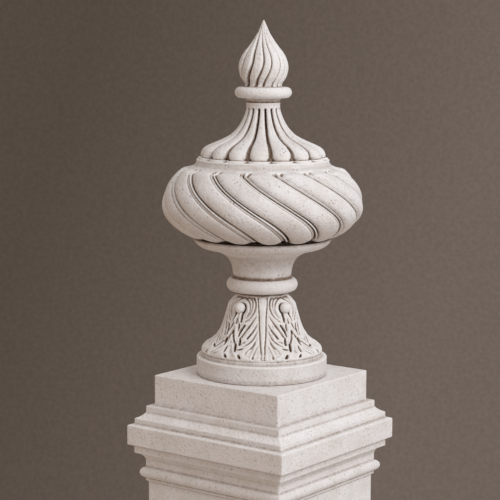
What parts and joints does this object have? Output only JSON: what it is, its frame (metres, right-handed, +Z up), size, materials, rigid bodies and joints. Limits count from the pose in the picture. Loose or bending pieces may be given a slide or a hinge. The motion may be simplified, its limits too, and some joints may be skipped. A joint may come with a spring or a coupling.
{
  "type": "post finial",
  "caption": "Carved stone post finial: flame, petalled cone, swirling lobed body and leafy foot, set on a square moulded cap and the head of its post.",
  "frame": {"origin": "centre of the underside, where the post is cut off flat", "axes": "+Z up the finial to the tip of its flame; +X and +Y square to the faces of the post"},
  "size_m": [0.4475, 0.4474, 1.112],
  "materials": {
    "finial_stone": "carved limestone, fine grain with small pits and browner hollows",
    "post_stone": "rubbed limestone, fine grain, arrises slightly worn"
  },
  "bodies": {
    "root": {"finial": "finial_stone", "cap_stone": "post_stone", "post_head": "post_stone"}
  },
  "joints": []
}
